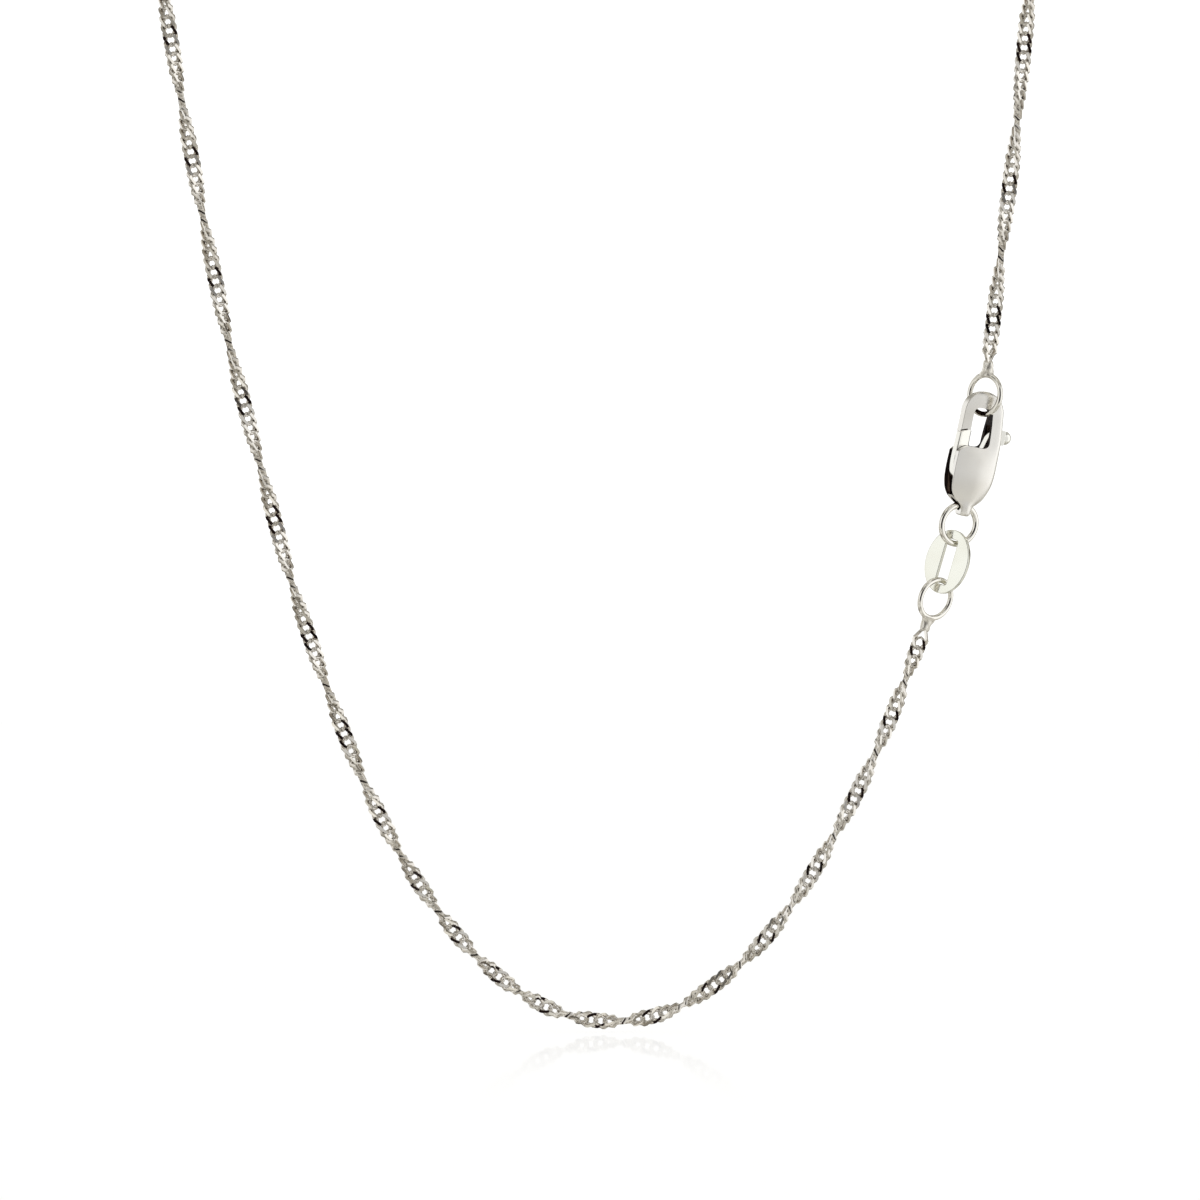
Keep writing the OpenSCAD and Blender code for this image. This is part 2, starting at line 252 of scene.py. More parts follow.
# The plates thin out towards their open side over this distance, to this thickness, from this height
# up, the front one only below two more heights, where it starts to and where it is full. The cut for
# it reaches into the cavity and out past the side
PLATE_THIN_OVER = 0.42
PLATE_THIN_T = 0.16
PLATE_THIN_LOW = 1.6
FRONT_THIN = (4.5, 3.5)
THIN_OVERLAP = 0.01
THIN_OUTSIDE = 0.5
SPINE_X = 1.462
KNOB_SLOT = (3.96, 8.94)
EYE_Z = 1.025
EYE_R = 0.575
PIVOT = (-0.258, 3.696)
SPLIT_R = 4.5545
# The step at the hook's tip where the gate meets it, and the heights between which that is
STEP_HIGH = 0.15
STEP_DEEP = 0.2
STEP_RIGHT = -1.42
STEP_BAND = (7.5, 9)
PIN_R = 0.4
PIN_HALF_L = 0.95
# How far the cuts reach in front of the middle and behind it, in the clasp's body and in the thinner
# lever and tag, and a distance past all of the clasp
CUT_DEPTH = 2
THIN_CUT_DEPTH = 1
PAST = 3

# The lever: half thickness, the gate's height with its left and right edges, its half thickness at
# shares of its width, and the thumb arm's edges, from below the pin upwards
LEVER_HALF_T = 0.5
GATE_TIP_R = 4.4945
GATE_EDGES = (
    (3.0, -1.2, -0.3), (3.36, -1.66, -0.2), (3.9, -2.0, -0.12), (4.74, -2.14, -0.37),
    (5.7, -2.15, -0.68), (6.96, -2.10, -0.86), (8.4, -2.032, -0.86),
)
GATE_PROFILE = (
    (0.0, 0.0), (0.0, 0.40), (0.015, 0.455), (0.05, 0.49), (0.11, 0.5), (0.3, 0.478),
    (0.5, 0.44), (0.7, 0.395), (0.88, 0.345), (0.97, 0.29), (1.0, 0.2), (1.0, 0.0),
)
ARM_UPPER = (
    (0.1075, 5.28), (0.43, 6.36), (0.774, 7.5), (1.075, 8.34),
    (1.376, 8.58), (1.72, 8.664), (2.2575, 8.664), (2.58, 8.616),
)
ARM_LOWER = (
    (0.1075, 3.12), (0.43, 3.24), (0.774, 3.72), (1.075, 4.92),
    (1.376, 6.24), (1.72, 6.96), (2.2575, 7.224), (2.58, 7.284),
)
ARM_RIM_R = 0.08
HUB_R = 1.05
HUB_RIM_R = 0.06
PIN_HOLE_R = 0.43
KNOB_AT = (2.671, 7.98)
KNOB_R = 0.65
KNOB_RIM_R = 0.45
KNOB_RIM_STEPS = 8

# The tag and the rings
TAG_HALF = (2.175, 3.1)
TAG_HALF_T = 0.275
TAG_RIM_R = 0.08
TAG_SLOT_HALF = (0.575, 2.2)
TAG_SLOT_CORNER_R = 0.23
RING_R = 1.87
RING_WIRE_R = 0.27
CLASP_RING_R = 1.88
CLASP_RING_WIRE_R = 0.3
# The soldered neck that joins a ring to the chain's last link: its radius at distances from the ring's
# middle, how much wider it is across and narrower through, and how uneven it is
NECK = (
    (1.80, 0.70), (2.0, 0.64), (2.15, 0.58), (2.4, 0.52), (2.7, 0.49), (3.0, 0.47),
    (3.18, 0.41), (3.26, 0.3),
)
NECK_ACROSS = 1.1
NECK_THROUGH = 0.9
NECK_LUMPS = ((0.05, 3, 5), (0.03, 5, -9))

# In millimetres, how close points lie that are merged. In degrees, how far the faces beside an edge
# turn at most where it is shaded smooth, and at least where it is a rim to be rounded
MERGE_WITHIN = 0.0005
SMOOTH_DEGREES = 34
RIM_DEGREES = 50


class Value:
    """A socket of a node tree, on which arithmetic adds the Math nodes that work it out."""

    def __init__(self, shader, socket):
        self.shader = shader
        self.socket = socket

    def math(self, operation, *others, first=True):
        """A Math node of this value and the others, which come after it or before it."""
        values = (self, *others) if first else (*others, self)
        node = self.shader.add("ShaderNodeMath", {"operation": operation}, dict(enumerate(values)))
        return Value(self.shader, node.outputs[0])

    def __add__(self, other):
        return self.math("ADD", other)

    def __radd__(self, other):
        return self.math("ADD", other, first=False)

    def __sub__(self, other):
        return self.math("SUBTRACT", other)

    def __rsub__(self, other):
        return self.math("SUBTRACT", other, first=False)

    def __mul__(self, other):
        return self.math("MULTIPLY", other)

    def __rmul__(self, other):
        return self.math("MULTIPLY", other, first=False)

    def __pow__(self, other):
        return self.math("POWER", other)

    def clamped(self):
        """The value, kept between 0 and 1."""
        return self.math("MAXIMUM", 0.0).math("MINIMUM", 1.0)


class Shader:
    """A node tree that is written as expressions."""

    def __init__(self, tree):
        self.tree = tree
        tree.nodes.clear()

    def add(self, kind, settings=None, sockets=None):
        """A node of that kind, with its settings, and with values or links for its sockets."""
        node = self.tree.nodes.new(kind)
        for name, setting in (settings or {}).items():
            if name == "stops":
                self.set_stops(node.color_ramp, setting)
            else:
                setattr(node, name, setting)
        for name, value in (sockets or {}).items():
            if isinstance(value, Value):
                value = value.socket
            if isinstance(value, bpy.types.NodeSocket):
                self.tree.links.new(value, node.inputs[name])
            else:
                node.inputs[name].default_value = value
        return node

    def set_stops(self, ramp, stops):
        """Sets a colour ramp's stops, each a place and a colour."""
        while len(ramp.elements) < len(stops):
            ramp.elements.new(1.0)
        for element, (place, colour) in zip(ramp.elements, stops):
            element.position = place
            element.color = (*colour, 1)

    def value(self, node, output=0):
        """One of a node's outputs, to be used in expressions."""
        return Value(self, node.outputs[output])


def material(name):
    """A new material, and the shader that its nodes are written with."""
    made = bpy.data.materials.new(name)
    made.use_nodes = True
    return made, Shader(made.node_tree)


def white_metal(name, colour, roughness):
    """Polished white metal, with faint polishing marks and a slight warm tarnish in patches."""
    made, shader = material(name)
    place = shader.add("ShaderNodeTexCoord").outputs["Object"]
    marks = shader.add("ShaderNodeTexNoise", {}, {"Vector": place, "Scale": MARKS_SCALE, "Detail": 3.0})
    clouds = shader.add("ShaderNodeTexNoise", {}, {"Vector": place, "Scale": PATCHES_SCALE, "Detail": 2.0})
    tarnished = [channel * share for channel, share in zip(colour, TARNISH)]
    stops = tuple(zip(PATCHES_FADE, (tarnished, colour)))
    patches = shader.add("ShaderNodeValToRGB", {"stops": stops}, {"Fac": clouds.outputs[0]})
    sockets = {
        "Base Color": patches.outputs["Color"],
        "Metallic": 1.0,
        "Roughness": (shader.value(marks) - 0.5) * MARKS_ROUGHNESS + roughness,
    }
    surface = shader.add("ShaderNodeBsdfPrincipled", {}, sockets)
    shader.add("ShaderNodeOutputMaterial", {}, {"Surface": surface.outputs["BSDF"]})
    return made


def recess_painted_shade():
    """Painted shade on the clasp's inner faces, dark brown with lighter streaks along the clasp."""
    made, shader = material("clasp_painted_shade")
    place = shader.add("ShaderNodeTexCoord")
    drawn = shader.add("ShaderNodeMapping", {}, {"Vector": place.outputs["Object"], "Scale": STREAK_SCALE})
    noise_sockets = {"Vector": drawn.outputs["Vector"], "Scale": 1.0, "Detail": 2.0}
    noise = shader.add("ShaderNodeTexNoise", {}, noise_sockets)
    streaks = shader.add("ShaderNodeValToRGB", {"stops": PAINTED_SHADE_STREAKS}, {"Fac": noise.outputs[0]})
    sockets = {
        "Base Color": streaks.outputs["Color"],
        "Roughness": shader.value(noise) * STREAK_ROUGHNESS + RECESS_ROUGHNESS,
        "Specular IOR Level": RECESS_SPECULAR,
    }
    surface = shader.add("ShaderNodeBsdfPrincipled", {}, sockets)
    shader.add("ShaderNodeOutputMaterial", {}, {"Surface": surface.outputs["BSDF"]})
    return made


def floor_finish():
    """Plain white floor that glows a little, with a weak sheen. The metal doesn't mirror it."""
    made, shader = material("white_floor")
    matt = shader.add("ShaderNodeBsdfDiffuse", {}, {"Color": FLOOR_COLOUR})
    glow = shader.add("ShaderNodeEmission", {}, {"Color": (1, 1, 1, 1), "Strength": FLOOR_GLOW})
    white = shader.add("ShaderNodeAddShader", {}, {0: matt.outputs[0], 1: glow.outputs[0]})
    sheen_sockets = {"Color": (1, 1, 1, 1), "Roughness": FLOOR_SHEEN_ROUGHNESS}
    sheen = shader.add("ShaderNodeBsdfGlossy", {}, sheen_sockets)
    place = shader.add("ShaderNodeTexCoord")
    axes = shader.add("ShaderNodeSeparateXYZ", {}, {0: place.outputs["Object"]})
    depth = shader.value(axes, "Y") + FLOOR_MIDDLE_Y
    near = ((depth - SHEEN_START_Y) * (1 / (SHEEN_FULL_Y - SHEEN_START_Y))).clamped()
    far = ((SHEEN_END_Y - depth) * (1 / (SHEEN_END_Y - SHEEN_FULL_Y))).clamped()
    share = near ** 2 * far * FLOOR_SHEEN
    both = shader.add("ShaderNodeMixShader", {}, {0: share, 1: white.outputs[0], 2: sheen.outputs[0]})
    unseen = shader.add("ShaderNodeBsdfTransparent")
    path = shader.add("ShaderNodeLightPath")
    seen = shader.add(
        "ShaderNodeMixShader",
        {},
        {0: path.outputs["Is Camera Ray"], 1: unseen.outputs[0], 2: both.outputs[0]},
    )
    shader.add("ShaderNodeOutputMaterial", {}, {"Surface": seen.outputs[0]})
    return made


def light_studio():
    """A grey room with soft white panels at its sides, dark in front, round the lens."""
    world = bpy.data.worlds.new("studio")
    bpy.context.scene.world = world
    world.use_nodes = True
    shader = Shader(world.node_tree)
    way = shader.add("ShaderNodeTexCoord").outputs["Generated"]

    def angle_from(direction):
        sockets = {0: way, 1: Vector(direction).normalized()}
        facing = shader.add("ShaderNodeVectorMath", {"operation": "DOT_PRODUCT"}, sockets)
        return shader.value(facing, "Value").math("ARCCOSINE")

    to_lens = (0, -math.cos(CAMERA_HEIGHT_ANGLE), math.sin(CAMERA_HEIGHT_ANGLE))
    round_share = angle_from(to_lens) * (1 / math.pi)
    ring = shader.add("ShaderNodeValToRGB", {"stops": STUDIO_RING}, {"Fac": round_share})
    noise_sockets = {"Vector": way, "Scale": FOLDS_SCALE, "Detail": 2.0, "Roughness": 0.6}
    noise = shader.add("ShaderNodeTexNoise", {}, noise_sockets)
    folds = shader.add("ShaderNodeValToRGB", {"stops": STUDIO_FOLDS}, {"Fac": noise.outputs[0]})
    room = shader.add(
        "ShaderNodeMix",
        {"data_type": "RGBA", "blend_type": "MULTIPLY"},
        {0: 1.0, 6: ring.outputs["Color"], 7: folds.outputs["Color"]},
    )
    light = shader.add("ShaderNodeBackground", {}, {"Color": room.outputs[2], "Strength": 1.0})
    for direction, start, full, strength in PANELS:
        fade = 1 / math.radians(start - full)
        share = ((math.radians(start) - angle_from(direction)) * fade).clamped()
        panel = shader.add("ShaderNodeBackground", {}, {"Color": PANEL_COLOUR, "Strength": strength})
        light = shader.add("ShaderNodeMixShader", {}, {0: share, 1: light.outputs[0], 2: panel.outputs[0]})
    backdrop_sockets = {"Color": (1, 1, 1, 1), "Strength": BACKDROP_GLOW}
    backdrop = shader.add("ShaderNodeBackground", {}, backdrop_sockets)
    path = shader.add("ShaderNodeLightPath")
    seen = shader.add(
        "ShaderNodeMixShader",
        {},
        {0: path.outputs["Is Camera Ray"], 1: light.outputs[0], 2: backdrop.outputs[0]},
    )
    shader.add("ShaderNodeOutputWorld", {}, {"Surface": seen.outputs[0]})


def place_camera():
    """A camera with a square picture, at the photo's slight angle from above."""
    data = bpy.data.cameras.new("camera")
    data.sensor_width = SENSOR_SIDE
    data.sensor_height = SENSOR_SIDE
    data.sensor_fit = "HORIZONTAL"
    data.lens = SENSOR_SIDE * CAMERA_DISTANCE / PICTURE_SIDE
    data.clip_start = 0.01
    data.clip_end = 20
    camera = bpy.data.objects.new("camera", data)
    bpy.context.scene.collection.objects.link(camera)
    back = Vector((0, -math.cos(CAMERA_HEIGHT_ANGLE), math.sin(CAMERA_HEIGHT_ANGLE)))
    camera.location = PICTURE_CENTRE + CAMERA_DISTANCE * back
    camera.rotation_euler = (math.pi / 2 - CAMERA_HEIGHT_ANGLE, 0, 0)
    bpy.context.scene.camera = camera


def lay_floor():
    """The floor that the necklace hangs just above."""
    bpy.ops.mesh.primitive_plane_add(size=FLOOR_SIDE, location=(0, FLOOR_MIDDLE_Y, FLOOR_Z))
    floor = bpy.context.object
    floor.name = "floor"
    floor.data.materials.append(floor_finish())


def deselect():
    bpy.ops.object.select_all(action="DESELECT")


def curve_point(points, i, t):
    """A point of the smooth curve through all the points, t of the way from point i to the next."""
    b = points[i]
    c = points[i + 1]
    a = points[i - 1] if i > 0 else 2 * b - c
    d = points[i + 2] if i + 2 < len(points) else 2 * c - b
    square = 2 * a - 5 * b + 4 * c - d
    cube = 3 * b - a - 3 * c + d
    return 0.5 * (2 * b + (c - a) * t + square * t ** 2 + cube * t ** 3)


def smooth_rows(rows, steps):
    """A smooth line through a table's rows, with so many steps from each to the next."""
    points = [Vector(row) for row in rows]
    line = [curve_point(points, i, k / steps) for i in range(len(points) - 1) for k in range(steps)]
    return line + [points[-1]]


def chain_line():
    """Closely spaced stations along the route: distance, place, heading, direction across, half turns."""
    rows = smooth_rows(CHAIN_ROUTE, SPAN_STEPS)
    places = [row.to_3d() * MM for row in rows]
    stations = []
    across = Vector((0, 1, 0))
    distance = 0.0
    for i, place in enumerate(places):
        ahead = places[min(i + 1, len(places) - 1)]
        behind = places[max(i - 1, 0)]
        heading = (ahead - behind).normalized()
        across = (across - across.dot(heading) * heading).normalized()
        distance += (place - places[i - 1]).length if i else 0.0
        stations.append((distance, place, heading, across.copy(), rows[i][3]))
    return stations


def link_places():
    """Where each link lies: a matrix with its own X across the chain and its Y along it."""
    stations = chain_line()
    length = stations[-1][0]
    first = LINK_L / 2 - END_LINK_REACH
    pitch = (length - 2 * first) / (LINK_COUNT - 1)
    places = []
    chance = random.Random(PLAY_SEED)
    i = 0
    for n in range(LINK_COUNT):
        wanted = first + n * pitch
        while stations[i + 1][0] < wanted:
            i += 1
        low = stations[i]
        high = stations[i + 1]
        t = (wanted - low[0]) / (high[0] - low[0])
        place = low[1].lerp(high[1], t)
        heading = low[2].lerp(high[2], t).normalized()
        across = low[3].lerp(high[3], t)
        across = (across - across.dot(heading) * heading).normalized()
        twist = -math.pi * (low[4] + (high[4] - low[4]) * t) + chance.uniform(-LINK_PLAY, LINK_PLAY)
        turned = Matrix.Rotation(twist, 3, heading) @ across
        outward = turned.cross(heading)
        places.append(Matrix((turned, heading, outward)).transposed().to_4x4())
        places[-1].translation = place
    return places


def link_line():
    """The middle line of a link's wire, right round, as places in the link's own plane and levels."""
    half = [(Vector((x, y, 0)) * MM, level) for x, y, level in LINK_LINE]
    return half + [(-place, level) for place, level in half]


def shape_link(mesh):
    """Bends a plain ring into a curb link, two arms forward and two back, with its cut faces flat."""
    line = link_line()
    count = len(line)
    rise = LINK_HALF_T - LINK_WIRE_DEPTH / 2
    top = PLAIN_WIRE_R * math.sin(math.tau / LINK_WIRE_SIDES)
    for vertex in mesh.vertices:
        x, y, z = vertex.co
        station = round(math.atan2(y, x) / math.tau * count) % count
        place, level = line[station]
        along = (line[(station + 1) % count][0] - line[station - 1][0]).normalized()
        outward = Vector((along.y, -along.x, 0))
        side = (math.hypot(x, y) - 1) / PLAIN_WIRE_R
        front = z / top
        reach = side if abs(front) < 0.5 else math.copysign(CUT_FACE_SHARE, side)
        vertex.co = place + outward * reach * LINK_WIRE / 2
        if station % (count // 2) == 0:
            vertex.co.z = front * LINK_HALF_T
        else:
            vertex.co.z = level * rise + front * LINK_WIRE_DEPTH / 2


def model_link(wire_metal, cut_metal):
    """One curb link at the origin, its cut faces sharp at their edges and the rest of its wire round."""
    deselect()
    bpy.ops.mesh.primitive_torus_add(
        major_segments=2 * len(LINK_LINE),
        minor_segments=LINK_WIRE_SIDES,
        major_radius=1.0,
        minor_radius=PLAIN_WIRE_R,
    )
    link = bpy.context.object
    link.name = "curb_link"
    shape_link(link.data)
    bpy.ops.object.shade_smooth()
    link.data.materials.append(wire_metal)
    link.data.materials.append(cut_metal)
    borders = {}
    for face in link.data.polygons:
        levels = [link.data.vertices[v].co.z for v in face.vertices]
        face.material_index = int(min(abs(z) for z in levels) > LINK_HALF_T - CUT_TOLERANCE)
        for key in face.edge_keys:
            borders.setdefault(key, []).append(face.material_index)
    for edge in link.data.edges:
        edge.use_edge_sharp = len(set(borders[edge.key])) == 2
    return link


def make_chain(wire_metal, cut_metal):
    """All the links along the route, joined into one piece."""
    link = model_link(wire_metal, cut_metal)
    copies = []
    for n, place in enumerate(link_places()):
        copy = bpy.data.objects.new(f"link_{n}", link.data.copy())
        copy.data.transform(place)
        bpy.context.scene.collection.objects.link(copy)
        copies.append(copy)
    bpy.data.objects.remove(link)
    deselect()
    for copy in copies:
        copy.select_set(True)
    bpy.context.view_layer.objects.active = copies[0]
    bpy.ops.object.join()
    chain = bpy.context.object
    chain.name = "curb_links"
    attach(chain, "necklace")
    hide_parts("chain")


def apply_modifier(piece, kind, **settings):
    """Adds a modifier with its settings to a piece, and applies it."""
    modifier = piece.modifiers.new("step", kind)
    for name, setting in settings.items():
        setattr(modifier, name, setting)
    bpy.context.view_layer.objects.active = piece
    bpy.ops.object.modifier_apply(modifier=modifier.name)


def combine(piece, other, operation, slot=0):
    """Cuts the other solid out of a piece, or joins it on, its faces in that slot, and removes it."""
    if slot:
        for metal in piece.data.materials:
            other.data.materials.append(metal)
        for face in other.data.polygons:
            face.material_index = slot
    deselect()
    piece.select_set(True)
    apply_modifier(piece, "BOOLEAN", object=other, operation=operation, solver="EXACT")
    bpy.data.objects.remove(other)


def face_outwards():
    """In edit mode: merges what lies together, closes open ends and turns all faces outwards."""
    bpy.ops.mesh.select_all(action="SELECT")
    bpy.ops.mesh.remove_doubles(threshold=MERGE_WITHIN)
    bpy.ops.mesh.select_all(action="DESELECT")
    bpy.ops.mesh.select_non_manifold()
    bpy.ops.mesh.fill_holes(sides=0)
    bpy.ops.mesh.select_all(action="SELECT")
    bpy.ops.mesh.normals_make_consistent(inside=False)
    bpy.ops.object.mode_set(mode="OBJECT")


def slab(outline, low, high, rim=0.0, rim_steps=2):
    """A plate with a front outline in X and Z, between two depths along Y, its rim rounded."""
    deselect()
    bpy.ops.mesh.primitive_circle_add(vertices=len(outline), radius=1, fill_type="NGON")
    plate = bpy.context.object
    for vertex, (x, z) in zip(plate.data.vertices, outline):
        vertex.co = (x, low, z)
    bpy.ops.object.mode_set(mode="EDIT")
    bpy.ops.mesh.select_all(action="SELECT")
    bpy.ops.mesh.extrude_region_move(TRANSFORM_OT_translate={"value": (0, high - low, 0)})
    face_outwards()
    if rim:
        round_rims(plate, rim, rim_steps)
    return plate


def round_rims(piece, width, steps):
    """Rounds a piece's sharp edges."""
    angle = math.radians(RIM_DEGREES)
    apply_modifier(piece, "BEVEL", width=width, segments=steps, limit_method="ANGLE", angle_limit=angle)


def rod(radius, start, end, sides=48):
    """A round bar from one place to another."""
    start = Vector(start)
    end = Vector(end)
    deselect()
    bpy.ops.mesh.primitive_cylinder_add(
        vertices=sides,
        radius=radius,
        depth=(end - start).length,
        location=(start + end) / 2,
        rotation=(end - start).to_track_quat("Z", "Y").to_euler(),
    )
    bar = bpy.context.object
    bpy.ops.object.transform_apply(location=True, rotation=True, scale=True)
    return bar


def loft(sections):
    """A closed skin through sections with the same count of points, capped at both ends."""
    around = len(sections[0])
    deselect()
    bpy.ops.mesh.primitive_grid_add(x_subdivisions=around, y_subdivisions=len(sections) - 1, size=2)
    skin = bpy.context.object
    for vertex in skin.data.vertices:
        i = round((vertex.co.x + 1) / 2 * around)
        j = round((vertex.co.y + 1) / 2 * (len(sections) - 1))
        vertex.co = sections[j][i % around]
    bpy.ops.object.mode_set(mode="EDIT")
    face_outwards()
    return skin


def value_at(line, height):
    """The second number of a line of rows at a height, their first number."""
    for low, high in zip(line, line[1:]):
        if height <= high[0]:
            return low[1] + (high[1] - low[1]) * (height - low[0]) / (high[0] - low[0])
    return line[-1][1]


def rounded_outline(centre, half_w, half_h, radius, steps=6):
    """A rectangle with rounded corners, in X and Z."""
    outline = []
    for corner, (side, end) in enumerate(((1, 1), (-1, 1), (-1, -1), (1, -1))):
        for k in range(steps + 1):
            angle = math.radians(90 * (corner + k / steps))
            x = centre[0] + side * (half_w - radius) + radius * math.cos(angle)
            outline.append((x, centre[1] + end * (half_h - radius) + radius * math.sin(angle)))
    return outline


def box_outline(left, right, low, high):
    """A rectangle, in X and Z."""
    return ((left, low), (right, low), (right, high), (left, high))


def turns_round(count):
    """Evenly spaced angles right round."""
    return [math.tau * k / count for k in range(count)]


def oval_outline(centre, half_w, half_h, sides=96):
    """An oval, in X and Z."""
    turns = turns_round(sides)
    return [(centre[0] + half_w * math.cos(turn), centre[1] + half_h * math.sin(turn)) for turn in turns]


def pivot_rod(radius, half_l):
    """A round bar along the lever's pin."""
    return rod(radius, (PIVOT[0], -half_l, PIVOT[1]), (PIVOT[0], half_l, PIVOT[1]))


def clasp_half(side, half_w, half_t, radius, crown):
    """A quarter of a clasp section, from the middle of its side to the middle of its face."""
    radius = min(radius, EDGE_SHARE * half_t, EDGE_SHARE * half_w)
    quarter = [(side * half_w, 0.0)]
    for k in range(EDGE_STEPS + 1):
        angle = math.radians(90 * k / EDGE_STEPS)
        x = half_w - radius + radius * math.cos(angle)
        quarter.append((side * x, half_t - radius + radius * math.sin(angle)))
    for k in range(1, FACE_STEPS):
        quarter.append((side * (half_w - radius) * (1 - k / FACE_STEPS), half_t))
    return [(x, y * (1 - crown * (x / half_w) ** 2)) for x, y in quarter]


def clasp_section(height, right_w, left_w, right_t, left_t):
    """A section of the clasp's body, with crowned faces and rounded edges."""
    edge_r = value_at(CLASP_EDGE_R_RIGHT, height)
    right = clasp_half(1, right_w, right_t, edge_r, value_at(CLASP_CROWN_RIGHT, height))
    left = clasp_half(-1, left_w, left_t, CLASP_EDGE_R_LEFT, CLASP_CROWN_LEFT)
    back = right + [(0.0, (right_t + left_t) / 2)] + left[::-1]
    front = [(x, -y) for x, y in back[-2:0:-1]]
    return [Vector((x, y, height)) for x, y in back + front]


def clasp_heights():
    """Heights up the clasp, with the half widths of its right and left sides there."""
    right = smooth_rows(CLASP_OUTLINE_RIGHT, 3)
    left = smooth_rows(CLASP_OUTLINE_LEFT, 3)
    rows = [(low.x, low.y, other.y) for low, other in zip(right, left)]
    for degrees in ARCH_DEGREES:
        turn = math.radians(degrees)
        half_w = HOOK_R * math.cos(turn)
        rows.append((CLASP_L - HOOK_R + HOOK_R * math.sin(turn), half_w, half_w))
    return rows


def thinning(height, half_w, half_t, face):
    """A section of what is cut from a plate's inner face towards its open side."""
    share = 1
    if face < 0:
        share = max(0, min(1, (FRONT_THIN[0] - height) / (FRONT_THIN[0] - FRONT_THIN[1])))
    inner = CAVITY_HALF_T - THIN_OVERLAP
    outer = inner + share * (half_t - PLATE_THIN_T - inner)
    outside = -half_w - THIN_OUTSIDE
    rows = ((outside, outer), (-half_w, outer), (-half_w + PLATE_THIN_OVER, inner), (outside, inner))
    return [Vector((x, face * y, height)) for x, y in rows]


def cut_mouth(body):
    """Cuts the hook's mouth through both faces."""
    middle = ((MOUTH_LEFT + MOUTH_RIGHT) / 2, (MOUTH_LOW + MOUTH_TOP) / 2)
    half_w = (MOUTH_RIGHT - MOUTH_LEFT) / 2
    half_h = (MOUTH_TOP - MOUTH_LOW) / 2
    mouth = slab(rounded_outline(middle, half_w, half_h, MOUTH_CORNER_R, 10), -CUT_DEPTH, CUT_DEPTH)
    combine(body, mouth, "DIFFERENCE", 1)


def cut_gate_gap(body, left):
    """Cuts away what the gate closes, from the plates' top edge to the hook's tip, and the tip's step."""
    edge = [(row.x, row.y) for row in smooth_rows(PLATE_EDGE, 4)]
    over_edge = edge + [(PLATE_EDGE[-1][0], CLASP_L), (PLATE_EDGE[0][0], CLASP_L)]
    gap = slab(oval_outline(PIVOT, SPLIT_R, SPLIT_R), -CUT_DEPTH, CUT_DEPTH)
    combine(gap, slab(over_edge, -PAST, PAST), "INTERSECT")
    combine(body, gap, "DIFFERENCE")
    step_r = SPLIT_R + STEP_HIGH
    step = slab(oval_outline(PIVOT, step_r, step_r), -CUT_DEPTH, STEP_DEEP - value_at(left, MOUTH_TOP))
    combine(step, slab(box_outline(-PAST, STEP_RIGHT, *STEP_BAND), -PAST, PAST), "INTERSECT")
    combine(body, step, "DIFFERENCE", 1)


def hollow_body(body, heights, left):
    """Cuts the lever's room between the plates, thins the plates and cuts the knob's slot."""
    cavity = box_outline(-PAST, SPINE_X, CAVITY_LOW, CAVITY_HIGH)
    combine(body, slab(cavity, -CAVITY_HALF_T, CAVITY_HALF_T), "DIFFERENCE", 1)
    for face, top in ((1, CAVITY_HIGH), (-1, FRONT_THIN[0])):
        low = [row for row in heights if PLATE_THIN_LOW < row[0] < top]
        thin = loft([thinning(z, left_w, value_at(left, z), face) for z, right_w, left_w in low])
        combine(body, thin, "DIFFERENCE", 1)
    slot = box_outline(0, PAST, *KNOB_SLOT)
    combine(body, slab(slot, -CAVITY_HALF_T, CAVITY_HALF_T), "DIFFERENCE", 1)


def make_clasp_body(metal, recess):
    """The clasp's body: its outer form, and then its mouth, gap, hollow, eye and pin."""
    heights = clasp_heights()
    right = smooth_rows(CLASP_THICK_RIGHT, 2)
    left = smooth_rows(CLASP_THICK_LEFT, 2)
    sections = [clasp_section(z, w, v, value_at(right, z), value_at(left, z)) for z, w, v in heights]
    body = loft(sections)
    body.data.materials.append(metal)
    # Slot 1 is painted shade: the walls left by the mouth, step, hollow and eye cuts below are dark brown
    body.data.materials.append(recess)
    cut_mouth(body)
    cut_gate_gap(body, left)
    hollow_body(body, heights, left)
    combine(body, rod(EYE_R, (-PAST, 0, EYE_Z), (PAST, 0, EYE_Z)), "DIFFERENCE", 1)
    combine(body, pivot_rod(PIN_R, PIN_HALF_L), "UNION")
    finish_piece(body, "clasp_shell", CLASP_PLACE, "necklace", "clasp_body")


def gate_section(height, left_x, right_x):
    """A section of the lever's gate between its left and right edges."""
    back = [(left_x + share * (right_x - left_x), half_t) for share, half_t in GATE_PROFILE]
    front = [(x, -y) for x, y in back[-2:0:-1]]
    return [Vector((x, y, height)) for x, y in back + front]


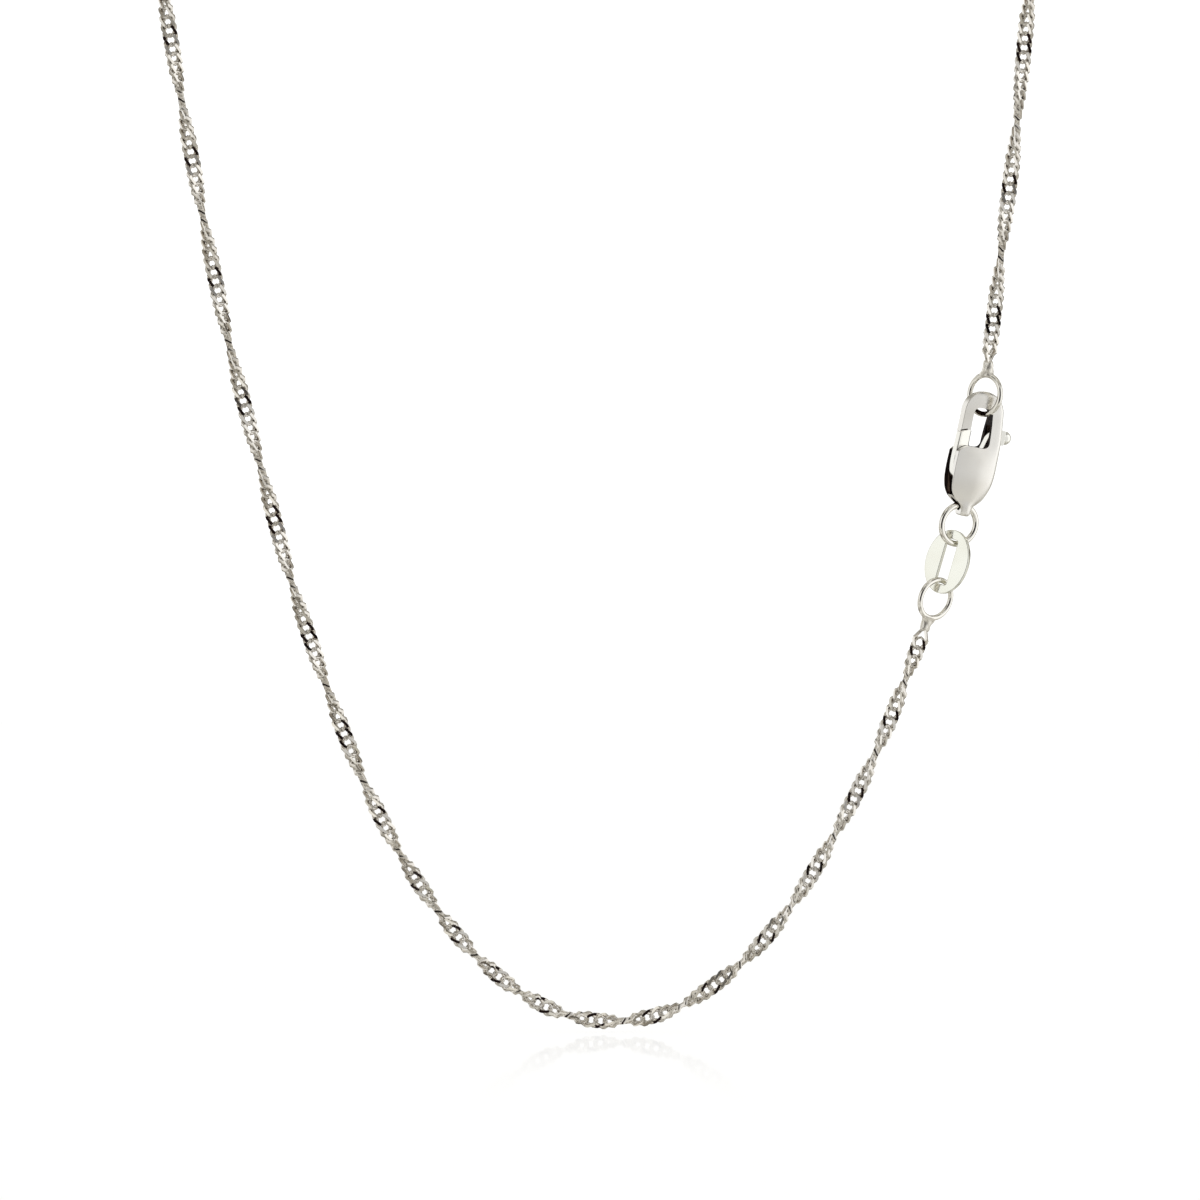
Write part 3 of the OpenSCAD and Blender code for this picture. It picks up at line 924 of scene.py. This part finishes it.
def make_lever(metal):
    """The lever: its gate, its thumb arm with the knob, and its hub with the hole for the pin."""
    lever = loft([gate_section(*row) for row in smooth_rows(GATE_EDGES, 4)])
    tip = slab(oval_outline(PIVOT, GATE_TIP_R, GATE_TIP_R), -THIN_CUT_DEPTH, THIN_CUT_DEPTH)
    combine(lever, tip, "INTERSECT")
    upper = [(row.x, row.y) for row in smooth_rows(ARM_UPPER, 4)]
    lower = [(row.x, row.y) for row in smooth_rows(ARM_LOWER, 4)]
    depths = (-LEVER_HALF_T, LEVER_HALF_T)
    arm = slab(upper + lower[::-1], *depths, ARM_RIM_R)
    hub = slab(oval_outline(PIVOT, HUB_R, HUB_R, 64), *depths, HUB_RIM_R)
    knob = slab(oval_outline(KNOB_AT, KNOB_R, KNOB_R, 48), *depths, KNOB_RIM_R, KNOB_RIM_STEPS)
    for part in (arm, hub, knob):
        combine(lever, part, "UNION")
    combine(lever, pivot_rod(PIN_HOLE_R, THIN_CUT_DEPTH), "DIFFERENCE")
    lever.data.materials.clear()
    lever.data.materials.append(metal)
    finish_piece(lever, "thumb_lever", CLASP_PLACE, "lever", "clasp_lever")


def make_tag(metal):
    """The oval tag with its slot, all its rims rounded."""
    tag = slab(oval_outline((0, 0), *TAG_HALF), -TAG_HALF_T, TAG_HALF_T)
    outline = rounded_outline((0, 0), *TAG_SLOT_HALF, TAG_SLOT_CORNER_R)
    combine(tag, slab(outline, -THIN_CUT_DEPTH, THIN_CUT_DEPTH), "DIFFERENCE")
    round_rims(tag, TAG_RIM_R, 4)
    tag.data.materials.clear()
    tag.data.materials.append(metal)
    finish_piece(tag, "oval_tag", TAG_PLACE, "necklace", "tag")


def neck_point(side, height, radius, turn):
    """A point of a ring's soldered neck."""
    lumps = sum(size * math.sin(times * turn + climb * height) for size, times, climb in NECK_LUMPS)
    across = NECK_ACROSS * radius * (1 + lumps) * math.cos(turn)
    through = NECK_THROUGH * radius * (1 + lumps) * math.sin(turn)
    return Vector((across, through, side * height))


def make_ring(name, place, node, radius, wire_radius, neck, metals):
    """A ring of round wire, with a neck of solder above it, below it or not at all."""
    deselect()
    bpy.ops.mesh.primitive_torus_add(
        major_segments=96,
        minor_segments=20,
        major_radius=radius,
        minor_radius=wire_radius,
        rotation=(math.pi / 2, 0, 0),
    )
    ring = bpy.context.object
    bpy.ops.object.transform_apply(location=True, rotation=True, scale=True)
    ring.data.materials.clear()
    for metal in metals:
        ring.data.materials.append(metal)
    if neck:
        rows = [(row.x, row.y) for row in smooth_rows(NECK, 2)]
        turns = turns_round(32)
        skin = loft([[neck_point(neck, height, half_w, turn) for turn in turns] for height, half_w in rows])
        combine(ring, skin, "UNION", 1)
    finish_piece(ring, name, place, "necklace", node)


def finish_piece(piece, name, place, body, node):
    """Hangs a piece in its place, smooths it, fixes it to what it rides on, and hides the model's part that
    it stands for.
    """
    at, lean, yaw = place
    turned = Matrix.Rotation(math.radians(lean), 4, "Y") @ Matrix.Rotation(math.radians(yaw), 4, "Z")
    deselect()
    piece.select_set(True)
    bpy.context.view_layer.objects.active = piece
    bpy.ops.object.shade_smooth_by_angle(angle=math.radians(SMOOTH_DEGREES))
    apply_modifier(piece, "WEIGHTED_NORMAL", keep_sharp=True)
    piece.data.transform(Matrix.Scale(MM, 4) @ Matrix.Translation(at) @ turned)
    piece.name = name
    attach(piece, body)
    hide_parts(node)


place_camera()
light_studio()
lay_floor()

chain_metal = white_metal("chain_metal", (0.80, 0.765, 0.72), 0.15)
cut_metal = white_metal("cut_metal", (0.88, 0.85, 0.805), 0.06)
ring_metal = white_metal("ring_metal", (0.95, 0.93, 0.885), 0.07)
solder = white_metal("solder", (0.90, 0.87, 0.81), 0.4)
clasp_metal = white_metal("clasp_metal", (0.91, 0.89, 0.855), 0.24)
# Painted shade for the clasp's inner walls
clasp_painted_shade = recess_painted_shade()
lever_metal = white_metal("lever_metal", (0.96, 0.95, 0.90), 0.12)
tag_metal = white_metal("tag_metal", (0.94, 0.945, 0.87), 0.13)
make_chain(chain_metal, cut_metal)
make_clasp_body(clasp_metal, clasp_painted_shade)
make_lever(lever_metal)
make_tag(tag_metal)
make_ring("upper_ring", HOOK_RING_PLACE, "hook_ring", RING_R, RING_WIRE_R, 1, (ring_metal, solder))
make_ring("lower_ring", END_RING_PLACE, "end_ring", RING_R, RING_WIRE_R, -1, (ring_metal, solder))
make_ring("middle_ring", CLASP_RING_PLACE, "clasp_ring", CLASP_RING_R, CLASP_RING_WIRE_R, 0, (ring_metal,))

bpy.context.scene.view_settings.view_transform = "Standard"
